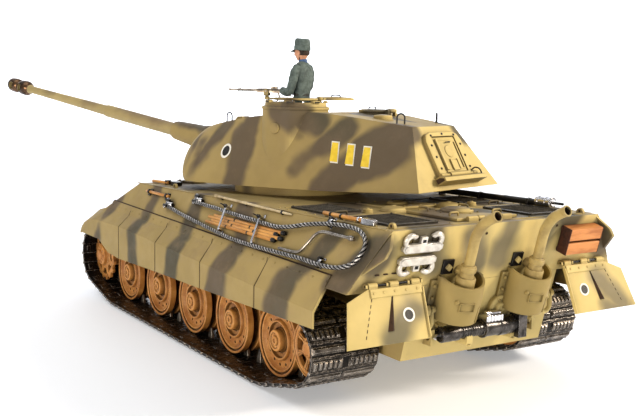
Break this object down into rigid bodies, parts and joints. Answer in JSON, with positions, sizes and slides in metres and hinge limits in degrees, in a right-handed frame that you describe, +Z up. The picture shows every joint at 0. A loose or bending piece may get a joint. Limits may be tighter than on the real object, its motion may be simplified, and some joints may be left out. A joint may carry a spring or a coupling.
{
  "type": "radio control tank model",
  "caption": "Radio control heavy tank model with a turning turret, raising gun, opening hatches and coupled road wheels, sprockets and idlers.",
  "frame": {"origin": "on the ground under the centre of the outline", "axes": "+X forwards, towards the bow; +Y to the left; +Z up"},
  "size_m": [0.6825, 0.2388, 0.2312],
  "materials": {
    "hull_paint": "matt camouflage: dark yellow with soft olive and grey-brown bands",
    "rear_paint": "matt pale yellow with soft grey-olive patches",
    "wheel_paint": "matt orange tan, lightly dusted",
    "track_metal": "dark cast links with worn bright edges",
    "arm_paint": "dark brown metal",
    "cable_metal": "twisted wire rope, blackened in the grooves",
    "bright_metal": "bright plated fittings",
    "tool_metal": "dark brushed metal",
    "tool_wood": "varnished light wood",
    "block_wood": "orange-brown wood",
    "grille_metal": "dark mesh",
    "exhaust_paint": "matt pale yellow, dark towards the pipe tips",
    "gun_paint": "camouflage paint over a turned tube",
    "plastic_grey": "plain moulding",
    "battery_wrap": "shrink wrap",
    "board_green": "circuit board",
    "figure_paint": "grey-green uniform, painted face"
  },
  "bodies": {
    "hull": {"lower_hull": "hull_paint", "upper_hull": "hull_paint", "suspension_arms": "arm_paint", "track_guards": "hull_paint", "track_left": "track_metal", "track_right": "track_metal", "deck_grilles": "grille_metal", "deck_fittings": "hull_paint", "exhaust_guards": "exhaust_paint", "exhaust_pipes": "exhaust_paint", "tow_cables": "cable_metal", "hull_fittings": "bright_metal", "wooden_tools": "tool_wood", "tool_heads": "tool_metal", "rear_jack": "tool_metal", "jack_block": "block_wood", "headlight": "tool_metal", "drive_gearboxes": "plastic_grey", "battery_pack": "battery_wrap", "control_board": "board_green", "turret_drive": "plastic_grey"},
    "sprocket_left": {"sprocket_left": "wheel_paint"},
    "idler_left": {"idler_left": "wheel_paint"},
    "wheel_l1": {"wheel_l1": "wheel_paint"},
    "wheel_l2": {"wheel_l2": "wheel_paint"},
    "wheel_l3": {"wheel_l3": "wheel_paint"},
    "wheel_l4": {"wheel_l4": "wheel_paint"},
    "wheel_l5": {"wheel_l5": "wheel_paint"},
    "wheel_l6": {"wheel_l6": "wheel_paint"},
    "wheel_l7": {"wheel_l7": "wheel_paint"},
    "wheel_l8": {"wheel_l8": "wheel_paint"},
    "wheel_l9": {"wheel_l9": "wheel_paint"},
    "mudflap_left": {"mudflap_left": "rear_paint"},
    "sprocket_right": {"sprocket_right": "wheel_paint"},
    "idler_right": {"idler_right": "wheel_paint"},
    "wheel_r1": {"wheel_r1": "wheel_paint"},
    "wheel_r2": {"wheel_r2": "wheel_paint"},
    "wheel_r3": {"wheel_r3": "wheel_paint"},
    "wheel_r4": {"wheel_r4": "wheel_paint"},
    "wheel_r5": {"wheel_r5": "wheel_paint"},
    "wheel_r6": {"wheel_r6": "wheel_paint"},
    "wheel_r7": {"wheel_r7": "wheel_paint"},
    "wheel_r8": {"wheel_r8": "wheel_paint"},
    "wheel_r9": {"wheel_r9": "wheel_paint"},
    "mudflap_right": {"mudflap_right": "rear_paint"},
    "engine_hatch": {"engine_hatch": "hull_paint"},
    "driver_hatch": {"driver_hatch": "hull_paint"},
    "radio_hatch": {"radio_hatch": "hull_paint"},
    "hull_mg": {"hull_mg": "hull_paint"},
    "turret": {"turret_shell": "hull_paint", "turret_fittings": "rear_paint", "cupola": "hull_paint"},
    "gun": {"gun_mantlet": "hull_paint", "gun_barrel": "gun_paint"},
    "cupola_hatch": {"cupola_hatch": "hull_paint"},
    "loader_hatch": {"loader_hatch": "hull_paint"},
    "escape_hatch": {"escape_hatch": "rear_paint"},
    "aa_mount": {"aa_mount": "tool_metal", "crew_figure": "figure_paint"},
    "aa_gun": {"aa_gun": "tool_metal"}
  },
  "joints": [
    {"name": "sprocket_left_spin", "type": "hinge", "parent": "hull", "child": "sprocket_left", "pos_m": [0.09953, 0.085, 0.037], "axis": [0, 1, 0], "continuous": true},
    {"name": "idler_left_spin", "type": "hinge", "parent": "hull", "child": "idler_left", "pos_m": [-0.25357, 0.082, 0.035], "axis": [0, 1, 0], "continuous": true},
    {"name": "wheel_l1_spin", "type": "hinge", "parent": "hull", "child": "wheel_l1", "pos_m": [0.05209, 0.085, 0.0285], "axis": [0, 1, 0], "continuous": true},
    {"name": "wheel_l2_spin", "type": "hinge", "parent": "hull", "child": "wheel_l2", "pos_m": [0.0199, 0.085, 0.0285], "axis": [0, 1, 0], "continuous": true},
    {"name": "wheel_l3_spin", "type": "hinge", "parent": "hull", "child": "wheel_l3", "pos_m": [-0.01229, 0.085, 0.0285], "axis": [0, 1, 0], "continuous": true},
    {"name": "wheel_l4_spin", "type": "hinge", "parent": "hull", "child": "wheel_l4", "pos_m": [-0.04448, 0.085, 0.0285], "axis": [0, 1, 0], "continuous": true},
    {"name": "wheel_l5_spin", "type": "hinge", "parent": "hull", "child": "wheel_l5", "pos_m": [-0.07667, 0.085, 0.0285], "axis": [0, 1, 0], "continuous": true},
    {"name": "wheel_l6_spin", "type": "hinge", "parent": "hull", "child": "wheel_l6", "pos_m": [-0.10886, 0.085, 0.0285], "axis": [0, 1, 0], "continuous": true},
    {"name": "wheel_l7_spin", "type": "hinge", "parent": "hull", "child": "wheel_l7", "pos_m": [-0.14105, 0.085, 0.0285], "axis": [0, 1, 0], "continuous": true},
    {"name": "wheel_l8_spin", "type": "hinge", "parent": "hull", "child": "wheel_l8", "pos_m": [-0.17324, 0.085, 0.0285], "axis": [0, 1, 0], "continuous": true},
    {"name": "wheel_l9_spin", "type": "hinge", "parent": "hull", "child": "wheel_l9", "pos_m": [-0.20543, 0.085, 0.0285], "axis": [0, 1, 0], "continuous": true},
    {"name": "mudflap_left_swing", "type": "hinge", "parent": "hull", "child": "mudflap_left", "pos_m": [-0.30797, 0.078, 0.0846], "axis": [0, 1, 0], "range_deg": [0, 70]},
    {"name": "sprocket_right_spin", "type": "hinge", "parent": "hull", "child": "sprocket_right", "pos_m": [0.09953, -0.085, 0.037], "axis": [0, 1, 0], "continuous": true},
    {"name": "idler_right_spin", "type": "hinge", "parent": "hull", "child": "idler_right", "pos_m": [-0.25357, -0.082, 0.035], "axis": [0, 1, 0], "continuous": true},
    {"name": "wheel_r1_spin", "type": "hinge", "parent": "hull", "child": "wheel_r1", "pos_m": [0.05209, -0.085, 0.0285], "axis": [0, 1, 0], "continuous": true},
    {"name": "wheel_r2_spin", "type": "hinge", "parent": "hull", "child": "wheel_r2", "pos_m": [0.0199, -0.085, 0.0285], "axis": [0, 1, 0], "continuous": true},
    {"name": "wheel_r3_spin", "type": "hinge", "parent": "hull", "child": "wheel_r3", "pos_m": [-0.01229, -0.085, 0.0285], "axis": [0, 1, 0], "continuous": true},
    {"name": "wheel_r4_spin", "type": "hinge", "parent": "hull", "child": "wheel_r4", "pos_m": [-0.04448, -0.085, 0.0285], "axis": [0, 1, 0], "continuous": true},
    {"name": "wheel_r5_spin", "type": "hinge", "parent": "hull", "child": "wheel_r5", "pos_m": [-0.07667, -0.085, 0.0285], "axis": [0, 1, 0], "continuous": true},
    {"name": "wheel_r6_spin", "type": "hinge", "parent": "hull", "child": "wheel_r6", "pos_m": [-0.10886, -0.085, 0.0285], "axis": [0, 1, 0], "continuous": true},
    {"name": "wheel_r7_spin", "type": "hinge", "parent": "hull", "child": "wheel_r7", "pos_m": [-0.14105, -0.085, 0.0285], "axis": [0, 1, 0], "continuous": true},
    {"name": "wheel_r8_spin", "type": "hinge", "parent": "hull", "child": "wheel_r8", "pos_m": [-0.17324, -0.085, 0.0285], "axis": [0, 1, 0], "continuous": true},
    {"name": "wheel_r9_spin", "type": "hinge", "parent": "hull", "child": "wheel_r9", "pos_m": [-0.20543, -0.085, 0.0285], "axis": [0, 1, 0], "continuous": true},
    {"name": "mudflap_right_swing", "type": "hinge", "parent": "hull", "child": "mudflap_right", "pos_m": [-0.30797, -0.078, 0.0846], "axis": [0, 1, 0], "range_deg": [0, 70]},
    {"name": "engine_hatch_open", "type": "hinge", "parent": "hull", "child": "engine_hatch", "pos_m": [-0.30122, 0, 0.11803], "axis": [0, -1, 0], "range_deg": [0, 95]},
    {"name": "driver_hatch_swivel", "type": "hinge", "parent": "hull", "child": "driver_hatch", "pos_m": [0.02035, 0.061, 0.11018], "axis": [0.0213, 0, 0.9998], "range_deg": [0, 100]},
    {"name": "radio_hatch_swivel", "type": "hinge", "parent": "hull", "child": "radio_hatch", "pos_m": [0.02035, -0.061, 0.11018], "axis": [-0.0213, 0, -0.9998], "range_deg": [0, 100]},
    {"name": "hull_mg_elevate", "type": "hinge", "parent": "hull", "child": "hull_mg", "pos_m": [0.05833, -0.046, 0.09569], "axis": [0, -1, 0], "range_deg": [-8, 10]},
    {"name": "turret_traverse", "type": "hinge", "parent": "hull", "child": "turret", "pos_m": [-0.07667, 0, 0.112], "axis": [0, 0, 1], "continuous": true},
    {"name": "gun_elevation", "type": "hinge", "parent": "turret", "child": "gun", "pos_m": [0.00439, 0.02202, 0.143], "axis": [0.2622, -0.965, 0], "range_deg": [-13.5, 2.5]},
    {"name": "cupola_hatch_swivel", "type": "hinge", "parent": "turret", "child": "cupola_hatch", "pos_m": [-0.10667, 0.00146, 0.185], "axis": [0, 0, 1], "range_deg": [-60, 40]},
    {"name": "loader_hatch_open", "type": "hinge", "parent": "turret", "child": "loader_hatch", "pos_m": [-0.15165, -0.03488, 0.178], "axis": [0.2622, -0.965, 0], "range_deg": [0, 100]},
    {"name": "escape_hatch_open", "type": "hinge", "parent": "turret", "child": "escape_hatch", "pos_m": [-0.22575, -0.0405, 0.13643], "axis": [0.2622, -0.965, 0], "range_deg": [0, 95]},
    {"name": "aa_traverse", "type": "hinge", "parent": "turret", "child": "aa_mount", "pos_m": [-0.10428, 0.02151, 0.185], "axis": [0, 0, 1], "range_deg": [-70, 80]},
    {"name": "aa_elevation", "type": "hinge", "parent": "aa_mount", "child": "aa_gun", "pos_m": [-0.08599, 0.03643, 0.1908], "axis": [0.632, -0.7749, 0], "range_deg": [-8, 15]}
  ],
  "couplings": [
    {"joint": "idler_left_spin", "follows": "sprocket_left_spin", "ratio": 1.1476},
    {"joint": "wheel_l1_spin", "follows": "sprocket_left_spin", "ratio": 0.906},
    {"joint": "wheel_l2_spin", "follows": "sprocket_left_spin", "ratio": 0.906},
    {"joint": "wheel_l3_spin", "follows": "sprocket_left_spin", "ratio": 0.906},
    {"joint": "wheel_l4_spin", "follows": "sprocket_left_spin", "ratio": 0.906},
    {"joint": "wheel_l5_spin", "follows": "sprocket_left_spin", "ratio": 0.906},
    {"joint": "wheel_l6_spin", "follows": "sprocket_left_spin", "ratio": 0.906},
    {"joint": "wheel_l7_spin", "follows": "sprocket_left_spin", "ratio": 0.906},
    {"joint": "wheel_l8_spin", "follows": "sprocket_left_spin", "ratio": 0.906},
    {"joint": "wheel_l9_spin", "follows": "sprocket_left_spin", "ratio": 0.906},
    {"joint": "idler_right_spin", "follows": "sprocket_right_spin", "ratio": 1.1476},
    {"joint": "wheel_r1_spin", "follows": "sprocket_right_spin", "ratio": 0.906},
    {"joint": "wheel_r2_spin", "follows": "sprocket_right_spin", "ratio": 0.906},
    {"joint": "wheel_r3_spin", "follows": "sprocket_right_spin", "ratio": 0.906},
    {"joint": "wheel_r4_spin", "follows": "sprocket_right_spin", "ratio": 0.906},
    {"joint": "wheel_r5_spin", "follows": "sprocket_right_spin", "ratio": 0.906},
    {"joint": "wheel_r6_spin", "follows": "sprocket_right_spin", "ratio": 0.906},
    {"joint": "wheel_r7_spin", "follows": "sprocket_right_spin", "ratio": 0.906},
    {"joint": "wheel_r8_spin", "follows": "sprocket_right_spin", "ratio": 0.906},
    {"joint": "wheel_r9_spin", "follows": "sprocket_right_spin", "ratio": 0.906}
  ]
}
